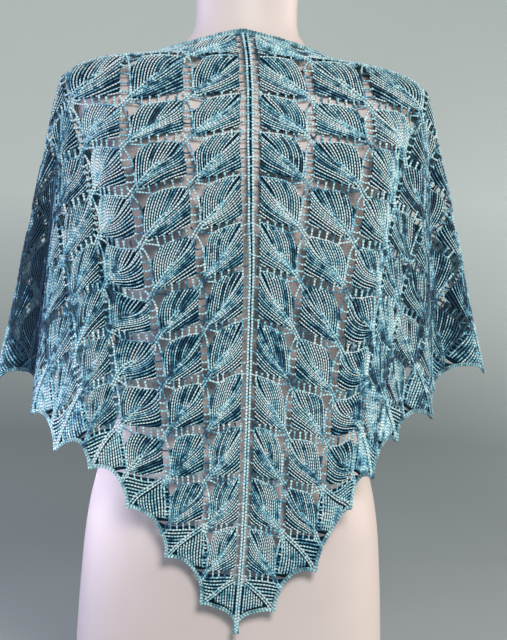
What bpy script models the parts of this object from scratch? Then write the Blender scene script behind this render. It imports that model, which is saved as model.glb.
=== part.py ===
"""A triangular knitted lace shawlette worn round a limbless dress form.

The shawl is one flat triangle: a centre spine, a half of leaf lace on each
side of it, a garter border along the long top edge and a pointed edging
along the two short edges. Its flat cut is measured in lace repeats: ACROSS
counts columns of leaves from the spine, negative to the left, and DOWN
counts rows of leaves from the top edge. drape() puts a point of that flat
cut on the form: behind, the columns hang from the shoulders, and round each
shoulder they turn into a fan of rays, one to each point of the hem.

The frame: Z up, origin at the middle of the form's base, the wearer faces
+Y, and the back of the shawl faces -Y. Tables are in millimetres.
"""

import math

import bpy
import numpy as np
from mathutils import Vector
from mathutils.bvhtree import BVHTree

MM = 0.001

# The flat cut, in repeats of the lace
REPEAT = 52.0
LEAF_ROWS = 12
LAST_ROW = 13.3
POINT_ACROSS = 0.04
POINT_DOWN = 13.7
SCALLOP_SQUARENESS = 2.3
WING_LINES = (12.3, 12.6, 12.9, 13.08)
BORDER = 0.13
SPINE_HALF = 0.055
SEAM = 0.55 / REPEAT

# The walls, in millimetres
WALL = 1.8
LEAF_RISE = 0.9
MIDRIB_RISE = 1.3
SPINE_RISE = 1.0
CLEARANCE = 2.1
EASE = 2.0

# Where the lace is cut through, as shares of a repeat: the stem of each leaf
# runs on to the next one through a band round each whole number
STEM_BAND = 0.08
EYELET_IN = 0.70
EYELET_OUT = 0.86
LADDER_IN = 0.09
LADDER_OUT = 0.17

# The shoulder that the fan hangs from: its flat place and its place in space
FAN_ACROSS = 2.4
FAN_DOWN = 0.85
FAN_EDGE = 0.70
FAN_SOFTNESS = 0.12
SUMMIT = (158.0, -8.0, 706.0)
CAP_REACH_X = 47.0
CAP_REACH_Y = 50.0
CAP_FALL_OUT = 16.0
CAP_FALL_ROUND = 20.0
BLEND_FROM = 2.0
BLEND_TO = 3.0
ROW_DROOP = 1.15

FORM_SEGMENTS = 32

# Level sections of the dress form, from its base to the cut of its neck
FORM_COLUMNS = ("height", "half_width", "back", "front", "squareness")
FORM_SECTIONS = (
    (0, 167, 102, 96, 2.2),
    (60, 170.5, 106, 100, 2.2),
    (105, 169, 110, 102, 2.2),
    (150, 166.5, 112, 104, 2.2),
    (184, 164, 112, 105, 2.2),
    (218, 159.5, 108, 104, 2.2),
    (252, 152, 100, 101, 2.2),
    (290, 139, 89, 96, 2.2),
    (322, 127, 82, 92, 2.2),
    (350, 121, 79, 90, 2.2),
    (385, 121, 80, 93, 2.2),
    (420, 122.5, 84, 99, 2.2),
    (455, 126.5, 91, 108, 2.2),
    (490, 133, 99, 122, 2.2),
    (522, 139, 104, 130, 2.2),
    (555, 148, 108, 127, 2.25),
    (590, 163, 109, 112, 2.3),
    (625, 180, 106, 92, 2.35),
    (652, 188, 97, 76, 2.35),
    (670, 189, 89, 64, 2.35),
    (682, 178, 80, 53, 2.25),
    (690, 160, 74, 46, 2.2),
    (698, 134, 68, 43, 2.15),
    (706, 112, 63, 45, 2.1),
    (715, 92, 59, 48, 2.05),
    (724, 75, 56, 51, 2.0),
    (732, 67, 54, 54, 2.0),
    (742, 59.5, 51, 56, 2.0),
    (758, 57, 48, 58, 2.0),
    (798, 57.5, 45, 62, 2.0),
    (806, 55, 43, 60, 2.0),
)

# Rows of the back panel: where the spine lies, the width of a repeat, and the
# depth and height of the panel where it meets the fan
ROW_COLUMNS = (
    "row", "spine_x", "spine_y", "spine_z", "pitch",
    "edge_y", "left_z", "right_z",
)
PANEL_ROWS = (
    (0, -8, -55, 738, 60, 38, 698, 698),
    (1, -5, -80, 706, 65, -20, 708, 708),
    (2, -4, -100, 663.5, 66.5, -72, 650, 657),
    (3, -4, -113, 622, 66.5, -84, 604, 616),
    (4, -3, -120, 575.5, 62, -92, 552, 562),
    (5, -2, -124, 526, 57, -100, 494, 505),
    (6, 0, -126, 475, 52.5, -106, 440, 452),
    (7, 0, -127, 420.5, 49, -110, 396, 391),
    (9, 0, -128, 309, 43, -116, 298, 292),
    (11, -1, -128, 201.5, 40.5, -119, 202, 189),
    (13.3, -6.5, -127, 88, 37, -120, 94, 72),
)

# Points of the hem round each side, counted from the spine, and where they hang
HEM_COLUMNS = (
    "step", "left_x", "left_y", "left_z", "right_x", "right_y", "right_z",
)
HEM_POINTS = (
    (2, 82, -121, 165, 72, -121, 160),
    (3, 125, -120, 219, 114, -121, 221),
    (4, 165, -108, 258, 138, -110, 253),
    (5, 200, -75, 275, 168, -80, 293),
    (6, 225, -25, 310, 214, -40, 316),
    (7, 222, 35, 338, 225, 10, 346),
    (8, 268, 62, 337, 292, 45, 366),
    (9, 238, 112, 352, 248, 100, 372),
    (10, 196, 148, 330, 205, 140, 345),
    (11, 146, 150, 290, 150, 150, 300),
    (12, 108, 160, 236, 112, 160, 245),
    (13, 72, 140, 165, 78, 142, 172),
)

# Where each direction of the flat fan points round the shoulder cap
BEARING_COLUMNS = ("flat_angle", "bearing")
CAP_BEARINGS = (
    (-100, -100),
    (-30, -28),
    (0, 0),
    (34, 56),
    (60, 92),
    (90, 135),
    (130, 172),
    (180, 205),
    (260, 260),
)

# How the front edge leaves the shoulder, in millimetres for each repeat
EDGE_TURN = 125.0
EDGE_FALL = (-18.0, 6.0, -53.0)


def columns_of(rows, names):
    values = np.array(rows, float)
    return {name: values[:, place] for place, name in enumerate(names)}


FORM = columns_of(FORM_SECTIONS, FORM_COLUMNS)
ROWS = columns_of(PANEL_ROWS, ROW_COLUMNS)
HEM = columns_of(HEM_POINTS, HEM_COLUMNS)
CAP = columns_of(CAP_BEARINGS, BEARING_COLUMNS)


def smooth_through(knots, values, at):
    """A smooth curve through the values, which never swings past them."""
    gaps = np.diff(knots)
    rises = np.diff(values) / gaps
    slopes = np.empty(len(knots))
    slopes[0], slopes[-1] = rises[0], rises[-1]
    product = rises[:-1] * rises[1:]
    total = rises[:-1] + rises[1:]
    same_way = product > 0
    slopes[1:-1] = np.where(same_way, 2 * product / np.where(same_way, total, 1), 0)
    at = np.clip(at, knots[0], knots[-1])
    left = np.clip(np.searchsorted(knots, at) - 1, 0, len(gaps) - 1)
    share = (at - knots[left]) / gaps[left]
    share2, share3 = share**2, share**3
    return (
        values[left] * (2 * share3 - 3 * share2 + 1)
        + slopes[left] * gaps[left] * (share3 - 2 * share2 + share)
        + values[left + 1] * (3 * share2 - 2 * share3)
        + slopes[left + 1] * gaps[left] * (share3 - share2)
    )


def soft_step(low, high, at):
    share = np.clip((at - low) / (high - low), 0, 1)
    return share * share * (3 - 2 * share)


def soft_ramp(at, softness):
    """Zero below 0 and equal to `at` above it, with a rounded corner."""
    return softness * np.logaddexp(0, at / softness)


def fan_polar(across, down):
    east, south = np.abs(across) - FAN_ACROSS, down - FAN_DOWN
    angle = np.degrees(np.arctan2(east, south))
    return np.where(angle < -100, angle + 360, angle), np.hypot(east, south)


def cap_edge(angle):
    """The rim of the right shoulder cap, below the flat direction `angle`."""
    turn = np.radians(smooth_through(CAP["flat_angle"], CAP["bearing"], angle))
    out, round_cap = np.sin(turn), np.cos(turn)
    return np.stack(
        [
            SUMMIT[0] + CAP_REACH_X * out,
            SUMMIT[1] - CAP_REACH_Y * round_cap,
            SUMMIT[2] - CAP_FALL_OUT * out - CAP_FALL_ROUND * round_cap**2,
        ],
        -1,
    )


def ray_table(side):
    """The flat angles of the hem points and how each ray falls, for each repeat."""
    step = HEM["step"]
    across, down = step + POINT_ACROSS, POINT_DOWN - step
    across[-1], down[-1] = LAST_ROW, 0
    angles, lengths = fan_polar(across, down)
    ends = np.stack([HEM[f"{side}_{axis}"] for axis in "xyz"], -1)
    falls = (ends - cap_edge(angles)) / (lengths - FAN_EDGE)[:, None]
    angles = np.append(angles, EDGE_TURN)
    return angles, np.vstack([falls, EDGE_FALL])


RAYS = {side: ray_table(side) for side in ("left", "right")}


def fan_points(side, across, down):
    angle, reach = fan_polar(across, down)
    knots, falls = RAYS[side]
    fall = np.stack([smooth_through(knots, falls[:, i], angle) for i in range(3)], -1)
    past_edge = soft_ramp(reach - FAN_EDGE, FAN_SOFTNESS)[..., None]
    on_cap = (reach[..., None] - past_edge) / FAN_EDGE
    summit = np.array(SUMMIT)
    points = summit + on_cap * (cap_edge(angle) - summit) + past_edge * fall
    return points * ((-1, 1, 1) if side == "left" else (1, 1, 1))


def panel_points(side, across, down):
    row = {name: smooth_through(ROWS["row"], ROWS[name], down) for name in ROW_COLUMNS}
    share = np.abs(across) / FAN_ACROSS
    return np.stack(
        [
            row["spine_x"] + across * row["pitch"],
            row["spine_y"] + (row["edge_y"] - row["spine_y"]) * share**2,
            row["spine_z"] + (row[f"{side}_z"] - row["spine_z"]) * share**ROW_DROOP,
        ],
        -1,
    )


def hanging_points(across, down):
    """The flat points hung by the tables alone, before they meet the form."""
    points = np.zeros(across.shape + (3,))
    for side, here in (("left", across < 0), ("right", across >= 0)):
        a, d = across[here], down[here]
        turned = soft_step(BLEND_FROM, BLEND_TO, np.abs(a))[:, None]
        panel, fan = panel_points(side, a, d), fan_points(side, a, d)
        points[here] = panel * (1 - turned) + fan * turned
    return points


def lift_off(points, tree):
    """Moves what would touch the form out to rest just clear of its skin."""
    lifted = points.copy()
    for index in np.ndindex(points.shape[:-1]):
        place = Vector(points[index])
        foot, normal, _, _ = tree.find_nearest(place * MM)
        depth = (place - foot / MM).dot(normal)
        rise = float(soft_ramp(CLEARANCE - depth, EASE)) if depth < 6 * EASE else 0.0
        lifted[index] = place + normal * rise
    return lifted


def drape(across, down, tree):
    """Points of the cloth's inner face and its outward normals, in millimetres."""
    across, down = np.broadcast_arrays(
        np.asarray(across, float), np.asarray(down, float)
    )
    nudge = 0.04
    stencil_a = np.stack([across, across + nudge, across - nudge, across, across])
    stencil_d = np.stack([down, down, down, down + nudge, down - nudge])
    spots = lift_off(hanging_points(stencil_a, stencil_d), tree)
    normals = np.cross(spots[1] - spots[2], spots[3] - spots[4])
    normals /= np.linalg.norm(normals, axis=-1, keepdims=True)
    return spots[0], -normals


def relief(across, down):
    """How far the lace's outer face stands up: most on a leaf, none at its rims."""
    a, d = np.abs(across) % 1, down % 1
    on_leaf = (a > EYELET_IN - 0.02) & (a < EYELET_OUT + 0.02)
    on_leaf &= (d > EYELET_IN - 0.02) & (d < EYELET_OUT + 0.02)
    on_midrib = on_leaf & (np.abs(a - d) < 0.1)
    return np.where(on_midrib, MIDRIB_RISE, np.where(on_leaf, LEAF_RISE, 0.0))


def material(name, colour, roughness):
    made = bpy.data.materials.new(name)
    made.use_nodes = True
    shader = made.node_tree.nodes["Principled BSDF"]
    shader.inputs["Base Color"].default_value = (*colour, 1)
    shader.inputs["Roughness"].default_value = roughness
    shader.inputs["Metallic"].default_value = 0
    return made


def add_object(name, corners, faces, finish, collection):
    mesh = bpy.data.meshes.new(name)
    mesh.from_pydata([tuple(corner) for corner in corners], [], faces)
    mesh.materials.append(finish)
    mesh.shade_smooth()
    made = bpy.data.objects.new(name, mesh)
    collection.objects.link(made)
    return made


def form_ring(place):
    """One level section: a rounded outline, fuller behind or in front."""
    turn = np.arange(FORM_SEGMENTS) * 2 * math.pi / FORM_SEGMENTS
    power = 2 / FORM["squareness"][place]
    x = FORM["half_width"][place] * np.sign(np.cos(turn)) * np.abs(np.cos(turn)) ** power
    depth = np.where(np.sin(turn) < 0, FORM["back"][place], FORM["front"][place])
    y = depth * np.sign(np.sin(turn)) * np.abs(np.sin(turn)) ** power
    return np.stack([x, y, np.full(FORM_SEGMENTS, FORM["height"][place])], -1)


def make_form(collection, finish):
    rings = [form_ring(place) for place in range(len(FORM["height"]))]
    corners = np.concatenate(rings) * MM
    count = FORM_SEGMENTS
    faces = [tuple(range(count))[::-1]]
    for ring in range(len(rings) - 1):
        for i in range(count):
            j = (i + 1) % count
            low, high = ring * count, (ring + 1) * count
            faces.append((low + i, low + j, high + j, high + i))
    top = (len(rings) - 1) * count
    faces.append(tuple(range(top, top + count)))
    return add_object("form_torso", corners, faces, finish, collection)


def make_wall(name, spots, faces, rises, tree, collection, finish):
    """A closed wall over the flat spots (across, down), raised by rises outside."""
    across, down = np.array(spots).T
    inner, normals = drape(across, down, tree)
    outer = inner + normals * (WALL + np.asarray(rises))[:, None]
    count = len(spots)
    shell = [face[::-1] for face in faces]
    shell += [tuple(corner + count for corner in face) for face in faces]
    edges = {}
    for face in faces:
        for start, end in zip(face, face[1:] + face[:1]):
            edges[(start, end)] = edges.get((start, end), 0) + 1
    for start, end in edges:
        if (end, start) in edges:
            continue
        # Walls that face each other across a seam are creased along the same line.
        if tuple(spots[start]) < tuple(spots[end]):
            shell.append((start, end, end + count))
            shell.append((start, end + count, start + count))
        else:
            shell.append((start, end, start + count))
            shell.append((end, end + count, start + count))
    return add_object(
        name, np.concatenate([inner, outer]) * MM, shell, finish, collection
    )


def lines_of_lace(start, extra=()):
    """Where the lace's mesh is divided, as shares of repeats from the start."""
    shares = (STEM_BAND, EYELET_IN, EYELET_OUT, 1 - STEM_BAND)
    lines = [cell + share for cell in range(LEAF_ROWS) for share in shares]
    return [start, *sorted([*extra, *lines[1:]])]


def is_eyelet(a, d):
    """The two gaps beside each stem, and one in each row of the spine's ladder."""
    cell_a, cell_d = int(a + STEM_BAND), int(d + STEM_BAND)
    share_a, share_d = a - cell_a, d - cell_d
    if EYELET_IN < share_d < EYELET_OUT:
        if cell_a == 0:
            return LADDER_IN < share_a < LADDER_OUT
        return share_a < STEM_BAND
    return EYELET_IN < share_a < EYELET_OUT and share_d < STEM_BAND and cell_d > 0


def make_lace(side, tree, collection, finish):
    """One half of the shawl: a stepped field of leaf repeats with its eyelets."""
    sign = -1 if side == "left" else 1
    a_lines = lines_of_lace(SPINE_HALF + SEAM, (LADDER_IN, LADDER_OUT))
    d_lines = lines_of_lace(BORDER + SEAM)
    spots, faces, index = [], [], {}

    def corner(i, j):
        if (i, j) not in index:
            index[(i, j)] = len(spots)
            spots.append((sign * a_lines[i], d_lines[j]))
        return index[(i, j)]

    for i in range(len(a_lines) - 1):
        for j in range(len(d_lines) - 1):
            a = (a_lines[i] + a_lines[i + 1]) / 2
            d = (d_lines[j] + d_lines[j + 1]) / 2
            inside = int(a + STEM_BAND) + int(d + STEM_BAND) < LEAF_ROWS
            if not inside or is_eyelet(a, d):
                continue
            face = (corner(i, j), corner(i, j + 1), corner(i + 1, j + 1), corner(i + 1, j))
            faces.append(face if side == "right" else face[::-1])
    across, down = np.array(spots).T
    rises = relief(across, down)
    return make_wall(f"lace_{side}", spots, faces, rises, tree, collection, finish)


def scallop(point, turn):
    """Spots on the hollow of the hem that starts at this point, for turn 0 to 90."""
    power = 2 / SCALLOP_SQUARENESS
    turn = np.radians(turn)
    middle = np.array([point + 1 + POINT_ACROSS, POINT_DOWN - point])
    return middle - np.stack([np.cos(turn) ** power, np.sin(turn) ** power], -1)


def edging_step(step):
    """The flat lines round one point: where it joins the lace, and its hem."""
    a, d = step - STEM_BAND + SEAM, LEAF_ROWS - step - STEM_BAND + SEAM
    shares = np.array(
        [0, 2 * STEM_BAND, EYELET_IN + STEM_BAND, EYELET_OUT + STEM_BAND, 1]
    )
    rise = [(a, d + share) for share in shares[::-1]]
    run = [(a + share, d) for share in shares]
    before = scallop(step, np.linspace(45, 90, 5))
    after = scallop(step + 1, np.linspace(0, 45, 5))
    if step == 0:
        starts = (SPINE_HALF + SEAM, LADDER_IN, LADDER_OUT)
        near = np.array([*[(across, d) for across in starts], *run[2:]])
        tip = scallop(0, np.linspace(0, 90, 4))
        tip[:, 0] += SPINE_HALF - POINT_ACROSS + SEAM
        tip[:, 0] += (1 + POINT_ACROSS - tip[-1, 0]) * np.linspace(0, 1, 4)
        share = (LAST_ROW - tip[-1, 1]) / (tip[0, 1] - tip[-1, 1])
        tip[:, 1] = tip[-1, 1] + (tip[:, 1] - tip[-1, 1]) * share
        return near, np.concatenate([tip, after[2::2]])
    if step == LEAF_ROWS:
        downs = (d + 1, EYELET_OUT, EYELET_IN, BORDER + SEAM)
        near = [(a, down) for down in downs]
        near += [(across, BORDER + SEAM) for across in WING_LINES]
        end = np.array([LAST_ROW - BORDER, BORDER + 5 * SEAM])
        share = np.linspace(0, 1, 5)[1:, None]
        wing = before[-1] + (end - before[-1]) * share
        return np.array(near), np.concatenate([before[[0, 1, 3, 4]], wing])
    return np.array(rise + run[1:]), np.concatenate([before, after[1:]])


def make_edging(side, tree, collection, finish):
    """The pointed edging from the spine's tip round to the end of the wing."""
    sign = -1 if side == "left" else 1
    lines = []
    for step in range(LEAF_ROWS + 1):
        near, far = edging_step(step)
        start = 0 if step == 0 else 1
        for n, f in zip(near[start:], far[start:]):
            lines.append([n, n + (f - n) * 0.5, f])
    spots = [(sign * a, d) for line in lines for a, d in line]
    faces = []
    for line in range(len(lines) - 1):
        for lane in range(2):
            start = 3 * line + lane
            face = (start, start + 1, start + 4, start + 3)
            faces.append(face if side == "right" else face[::-1])
    rises = [0.4] * len(spots)
    return make_wall(f"edging_{side}", spots, faces, rises, tree, collection, finish)


def make_strip(name, rows, rises, tree, collection, finish):
    """A band from rows of flat spots, the same number in each row."""
    width = len(rows[0])
    spots = [spot for row in rows for spot in row]
    faces = []
    for row in range(len(rows) - 1):
        for lane in range(width - 1):
            start = row * width + lane
            faces.append((start, start + width, start + width + 1, start + 1))
    all_rises = list(rises) * len(rows)
    return make_wall(name, spots, faces, all_rises, tree, collection, finish)


def make_spine(tree, collection, finish):
    downs = [*lines_of_lace(BORDER + SEAM), *WING_LINES[:3], LAST_ROW]
    lanes = (-SPINE_HALF, 0.0, SPINE_HALF)
    rows = [[(a, d) for a in lanes] for d in downs]
    rises = (0.3, SPINE_RISE, 0.3)
    return make_strip("centre_spine", rows, rises, tree, collection, finish)


def make_border(tree, collection, finish):
    half = [*lines_of_lace(0.0, (LADDER_OUT,)), *WING_LINES, LAST_ROW - BORDER]
    acrosses = [-a for a in half[:0:-1]] + half
    rows = [[(a, BORDER - SEAM), (a, 0.0)] for a in acrosses]
    return make_strip("top_border", rows, (0.5, 0.5), tree, collection, finish)


def main():
    for obj in list(bpy.data.objects):
        bpy.data.objects.remove(obj, do_unlink=True)
    shawl = bpy.data.collections.new("shawlette on a dress form")
    bpy.context.scene.collection.children.link(shawl)

    plastic = material("form_plastic", (0.86, 0.82, 0.79), 0.45)
    yarn = material("hand_dyed_yarn", (0.13, 0.30, 0.37), 0.85)
    light_yarn = material("light_yarn", (0.28, 0.50, 0.55), 0.85)

    form = make_form(shawl, plastic)
    bpy.context.view_layer.update()
    tree = BVHTree.FromObject(form, bpy.context.evaluated_depsgraph_get())

    for side in ("left", "right"):
        make_lace(side, tree, shawl, yarn)
        make_edging(side, tree, shawl, yarn)
    make_spine(tree, shawl, light_yarn)
    make_border(tree, shawl, yarn)


main()
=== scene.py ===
# A hand-knitted lace shawlette on a limbless dress form, seen from behind.
# Lengths in the dictionaries are millimetres unless a note says otherwise.
# The lace is laid out flat first, in repeats of its leaf pattern: across counts
# columns of leaves from the spine and down counts rows from the top edge. In the
# dictionaries of the knitting, whatever lies across or down the flat cloth is in
# repeats, and radii, heights, rises and pitches are millimetres.
import math

import bpy
import numpy as np
from mathutils import Matrix, Vector
from mathutils.bvhtree import BVHTree


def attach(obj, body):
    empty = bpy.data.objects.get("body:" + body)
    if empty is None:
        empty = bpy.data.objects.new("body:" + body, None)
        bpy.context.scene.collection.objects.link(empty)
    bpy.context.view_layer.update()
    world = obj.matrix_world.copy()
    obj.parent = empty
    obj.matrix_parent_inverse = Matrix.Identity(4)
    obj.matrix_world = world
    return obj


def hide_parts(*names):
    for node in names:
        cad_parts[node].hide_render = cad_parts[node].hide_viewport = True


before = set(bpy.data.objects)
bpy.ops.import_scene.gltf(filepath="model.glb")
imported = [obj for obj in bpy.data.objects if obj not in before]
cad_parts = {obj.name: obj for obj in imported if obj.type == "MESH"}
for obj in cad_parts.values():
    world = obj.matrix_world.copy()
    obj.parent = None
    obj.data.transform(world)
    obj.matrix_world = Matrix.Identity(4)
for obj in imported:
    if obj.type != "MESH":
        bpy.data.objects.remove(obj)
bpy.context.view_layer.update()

bpy.ops.object.select_all(action="DESELECT")
mm = 0.001


def table(rows, names):
    columns = np.array(rows, float).T
    return dict(zip(names, columns))


def curveThrough(knots, values, at):
    # a smooth curve through the values that never swings past them
    gaps = np.diff(knots)
    rises = np.diff(values) / gaps
    slopes = np.empty(len(knots))
    slopes[0], slopes[-1] = rises[0], rises[-1]
    product, total = rises[:-1] * rises[1:], rises[:-1] + rises[1:]
    slopes[1:-1] = np.where(product > 0, 2 * product / np.where(product > 0, total, 1), 0)
    at = np.clip(at, knots[0], knots[-1])
    left = np.clip(np.searchsorted(knots, at) - 1, 0, len(gaps) - 1)
    t = (at - knots[left]) / gaps[left]
    return (values[left] * (2 * t**3 - 3 * t**2 + 1)
            + slopes[left] * gaps[left] * (t**3 - 2 * t**2 + t)
            + values[left + 1] * (3 * t**2 - 2 * t**3)
            + slopes[left + 1] * gaps[left] * (t**3 - t**2))


def softStep(low, high, at):
    t = np.clip((at - low) / (high - low), 0, 1)
    return t * t * (3 - 2 * t)


def softRamp(at, softness):
    return softness * np.logaddexp(0, at / softness)


def toLinear(hexColour):
    parts = [int(hexColour[i:i + 2], 16) / 255 for i in (1, 3, 5)]
    return tuple(c / 12.92 if c <= 0.04045 else ((c + 0.055) / 1.055) ** 2.4 for c in parts) + (1.0,)


def setInputs(tree, node, inputs):
    # inputs: socket -> a value, or (node, output socket) for a link
    for socket, value in inputs.items():
        if isinstance(value, tuple) and isinstance(value[0], bpy.types.Node):
            tree.links.new(value[0].outputs[value[1]], node.inputs[socket])
        else:
            node.inputs[socket].default_value = value


def addNode(tree, kind, settings=None, inputs=None):
    node = tree.nodes.new(kind)
    for name, value in (settings or {}).items():
        setattr(node, name, value)
    setInputs(tree, node, inputs or {})
    return node


def addNoise(tree, place, scale, detail):
    return addNode(tree, "ShaderNodeTexNoise", inputs={
        "Vector": (place, "Object"), "Scale": scale, "Detail": detail})


def multiplyAdd(tree, value, factor, plus):
    return addNode(tree, "ShaderNodeMath", {"operation": "MULTIPLY_ADD"}, {0: value, 1: factor, 2: plus})


def setRamp(node, stops):
    ramp = node.color_ramp
    while len(ramp.elements) > 1:
        ramp.elements.remove(ramp.elements[-1])
    for i, (place, colour) in enumerate(stops):
        stop = ramp.elements[0] if i == 0 else ramp.elements.new(place)
        stop.position, stop.color = place, toLinear(colour)


def newMaterial(name):
    material = bpy.data.materials.new(name)
    material.use_nodes = True
    tree = material.node_tree
    tree.nodes.clear()
    shader = addNode(tree, "ShaderNodeBsdfPrincipled")
    addNode(tree, "ShaderNodeOutputMaterial", inputs={"Surface": (shader, "BSDF")})
    return material, tree, shader, addNode(tree, "ShaderNodeTexCoord")


# Hand-dyed merino fingering yarn, two plies: soft, dry and slightly hairy, with
# the dye lighter and darker along the strand, so no two leaves have one colour.
yarnLook = {
    "poolSize": 95, "poolShare": 0.55,      # where the dye pooled in the skein
    "runSize": 8, "runShare": 1.1,          # lengths of one tone along the rows
    # a strand's own tone also carries painted shade: darker in the wings and down their deep folds
    "strandShare": 0.45,                    # how much a strand's own tone counts
    "toneRange": (0.68, 1.34),              # sums that give the darkest and the lightest dye
    "plyPitch": 3.4,        # a ply turn is 1.5 mm in the real yarn, drawn coarser to show
    "plyHeight": 0.35, "fuzzScale": 1400, "bumpStrength": 0.45, "bumpDepth": 0.4,
    "roughness": 0.88, "sheenRoughness": 0.5,
}


def makeYarn(name, stops, depth, dipShadeColour, sheen, gloss):
    # stops run from the darkest dye to the lightest; depth and the dip colour set how dark the painted
    # shade is in the stitches' dips
    material, tree, shader, place = newMaterial(name)
    pool = addNoise(tree, place, 1000 / yarnLook["poolSize"], 2.0)
    run = addNoise(tree, place, 1000 / yarnLook["runSize"], 2.0)
    yarn = addNode(tree, "ShaderNodeAttribute", {"attribute_name": "yarn"})
    parts = addNode(tree, "ShaderNodeSeparateXYZ", inputs={"Vector": (yarn, "Vector")})
    poolPart = multiplyAdd(tree, (pool, "Fac"), yarnLook["poolShare"], 0)
    runPart = multiplyAdd(tree, (run, "Fac"), yarnLook["runShare"], (poolPart, 0))
    tone = multiplyAdd(tree, (parts, "Y"), yarnLook["strandShare"], (runPart, 0))
    darkest, lightest = yarnLook["toneRange"]
    centred = addNode(tree, "ShaderNodeMapRange", inputs={
        "Value": (tone, 0), "From Min": darkest, "From Max": lightest})
    ramp = addNode(tree, "ShaderNodeValToRGB", inputs={"Fac": (centred, "Result")})
    setRamp(ramp, stops)
    # stitches: a dip in height where one loop passes into the next, with painted shade darkening the colour
    # there
    along = multiplyAdd(tree, (parts, "X"), 2 * math.pi * 1000 / yarnLook["plyPitch"], 0)
    wave = addNode(tree, "ShaderNodeMath", {"operation": "SINE"}, {0: (along, 0)})
    paintedDipShade = addNode(tree, "ShaderNodeMapRange", inputs={
        "Value": (wave, 0), "From Min": -1.0, "From Max": 0.2, "To Min": depth, "To Max": 0.0})
    mixed = addNode(tree, "ShaderNodeMix", {"data_type": "RGBA"}, {
        "Factor": (paintedDipShade, "Result"), 6: (ramp, "Color"), 7: toLinear(dipShadeColour)})
    fuzz = addNoise(tree, place, yarnLook["fuzzScale"], 1.0)
    height = multiplyAdd(tree, (wave, 0), yarnLook["plyHeight"], (fuzz, "Fac"))
    bump = addNode(tree, "ShaderNodeBump", inputs={
        "Strength": yarnLook["bumpStrength"], "Distance": yarnLook["bumpDepth"] * mm,
        "Height": (height, 0)})
    setInputs(tree, shader, {
        "Base Color": (mixed, 2), "Normal": (bump, 0), "Roughness": yarnLook["roughness"],
        "Specular IOR Level": gloss, "Sheen Weight": sheen, "Sheen Roughness": yarnLook["sheenRoughness"]})
    return material


# The knit side: pale teal ribs and chains, with painted shade where one stitch meets the next.
yarnRaised = makeYarn(
    "handDyedMerinoYarn", depth=0.76, dipShadeColour="#1A4A6C", sheen=0.22, gloss=0.3,
    stops=((0.0, "#0F384D"), (0.14, "#2C6884"), (0.33, "#80C8E2"), (0.57, "#CBF9FF"), (1.0, "#EDFBFF")))
# The purl side sunk between the ribs: the same yarn coloured near-black navy, painted shade for the dark
# between the ribs.
yarnSunk = makeYarn(
    "merinoPurlSidePaintedShade", depth=0.3, dipShadeColour="#04131F", sheen=0.02, gloss=0.05,
    stops=((0.0, "#051926"), (0.5, "#0B293C"), (1.0, "#1B4660")))
# The garter band, the bound-off hem and the reverse of the lace, of a middle tone.
yarnBand = makeYarn(
    "handDyedMerinoGarter", depth=0.8, dipShadeColour="#16344A", sheen=0.22, gloss=0.3,
    stops=((0.0, "#24485E"), (0.3, "#5C93A6"), (0.6, "#A3D3DC"), (1.0, "#CBF9FF")))


# Dress form of moulded ABS with a satin white lacquer: even, slightly warm, with
# a soft wide highlight and a faint orange-peel ripple.
lacquerLook = {"cloudSize": 140, "peelSize": 2.2, "peelStrength": 0.06, "peelDepth": 0.2, "roughness": 0.52}


def makeLacquer():
    material, tree, shader, place = newMaterial("satinLacqueredAbs")
    cloud = addNoise(tree, place, 1000 / lacquerLook["cloudSize"], 2.0)
    ramp = addNode(tree, "ShaderNodeValToRGB", inputs={"Fac": (cloud, "Fac")})
    setRamp(ramp, ((0.3, "#CFC3C3"), (0.7, "#D8CDCC")))
    peel = addNoise(tree, place, 1000 / lacquerLook["peelSize"], 1.0)
    bump = addNode(tree, "ShaderNodeBump", inputs={
        "Strength": lacquerLook["peelStrength"], "Distance": lacquerLook["peelDepth"] * mm,
        "Height": (peel, "Fac")})
    setInputs(tree, shader, {
        "Base Color": (ramp, "Color"), "Normal": (bump, 0), "Roughness": lacquerLook["roughness"],
        "IOR": 1.5})
    return material


lacquer = makeLacquer()
print("materials made")


form = {
    "sides": 128, "rings": 150,
    "sections": (  # height, half width, back, front, squareness
        (0, 167, 102, 96, 2.2), (60, 170.5, 106, 100, 2.2), (105, 169, 110, 102, 2.2),
        (150, 166.5, 112, 104, 2.2), (184, 164, 112, 105, 2.2), (218, 159.5, 108, 104, 2.2),
        (252, 152, 100, 101, 2.2), (290, 139, 89, 96, 2.2), (322, 127, 82, 92, 2.2),
        (350, 121, 79, 90, 2.2), (385, 121, 80, 93, 2.2), (420, 122.5, 84, 99, 2.2),
        (455, 126.5, 91, 108, 2.2), (490, 133, 99, 122, 2.2), (522, 139, 104, 130, 2.2),
        (555, 148, 108, 127, 2.25), (590, 163, 109, 112, 2.3), (625, 180, 106, 92, 2.35),
        (652, 188, 97, 76, 2.35), (670, 189, 89, 64, 2.35), (682, 178, 80, 53, 2.25),
        (690, 160, 74, 46, 2.2), (698, 134, 68, 43, 2.15), (706, 112, 63, 45, 2.1),
        (715, 92, 59, 48, 2.05), (724, 75, 56, 51, 2.0), (732, 67, 54, 54, 2.0),
        (742, 59.5, 51, 56, 2.0), (758, 57, 48, 58, 2.0), (798, 57.5, 45, 62, 2.0),
        (806, 55, 43, 60, 2.0)),
    "rimRound": 3, "rimSteps": 3, "rimAngle": 50,
}


def selectEdges(thing, chosen):
    # leaves the object in edit mode, with only the edges selected whose two ends pass the test
    bpy.ops.object.mode_set(mode="EDIT")
    bpy.ops.mesh.select_all(action="DESELECT")
    bpy.ops.object.mode_set(mode="OBJECT")
    for edge in thing.data.edges:
        edge.select = chosen(*[thing.data.vertices[v].co for v in edge.vertices])
    bpy.context.tool_settings.mesh_select_mode = (False, True, False)
    bpy.ops.object.mode_set(mode="EDIT")


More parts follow.
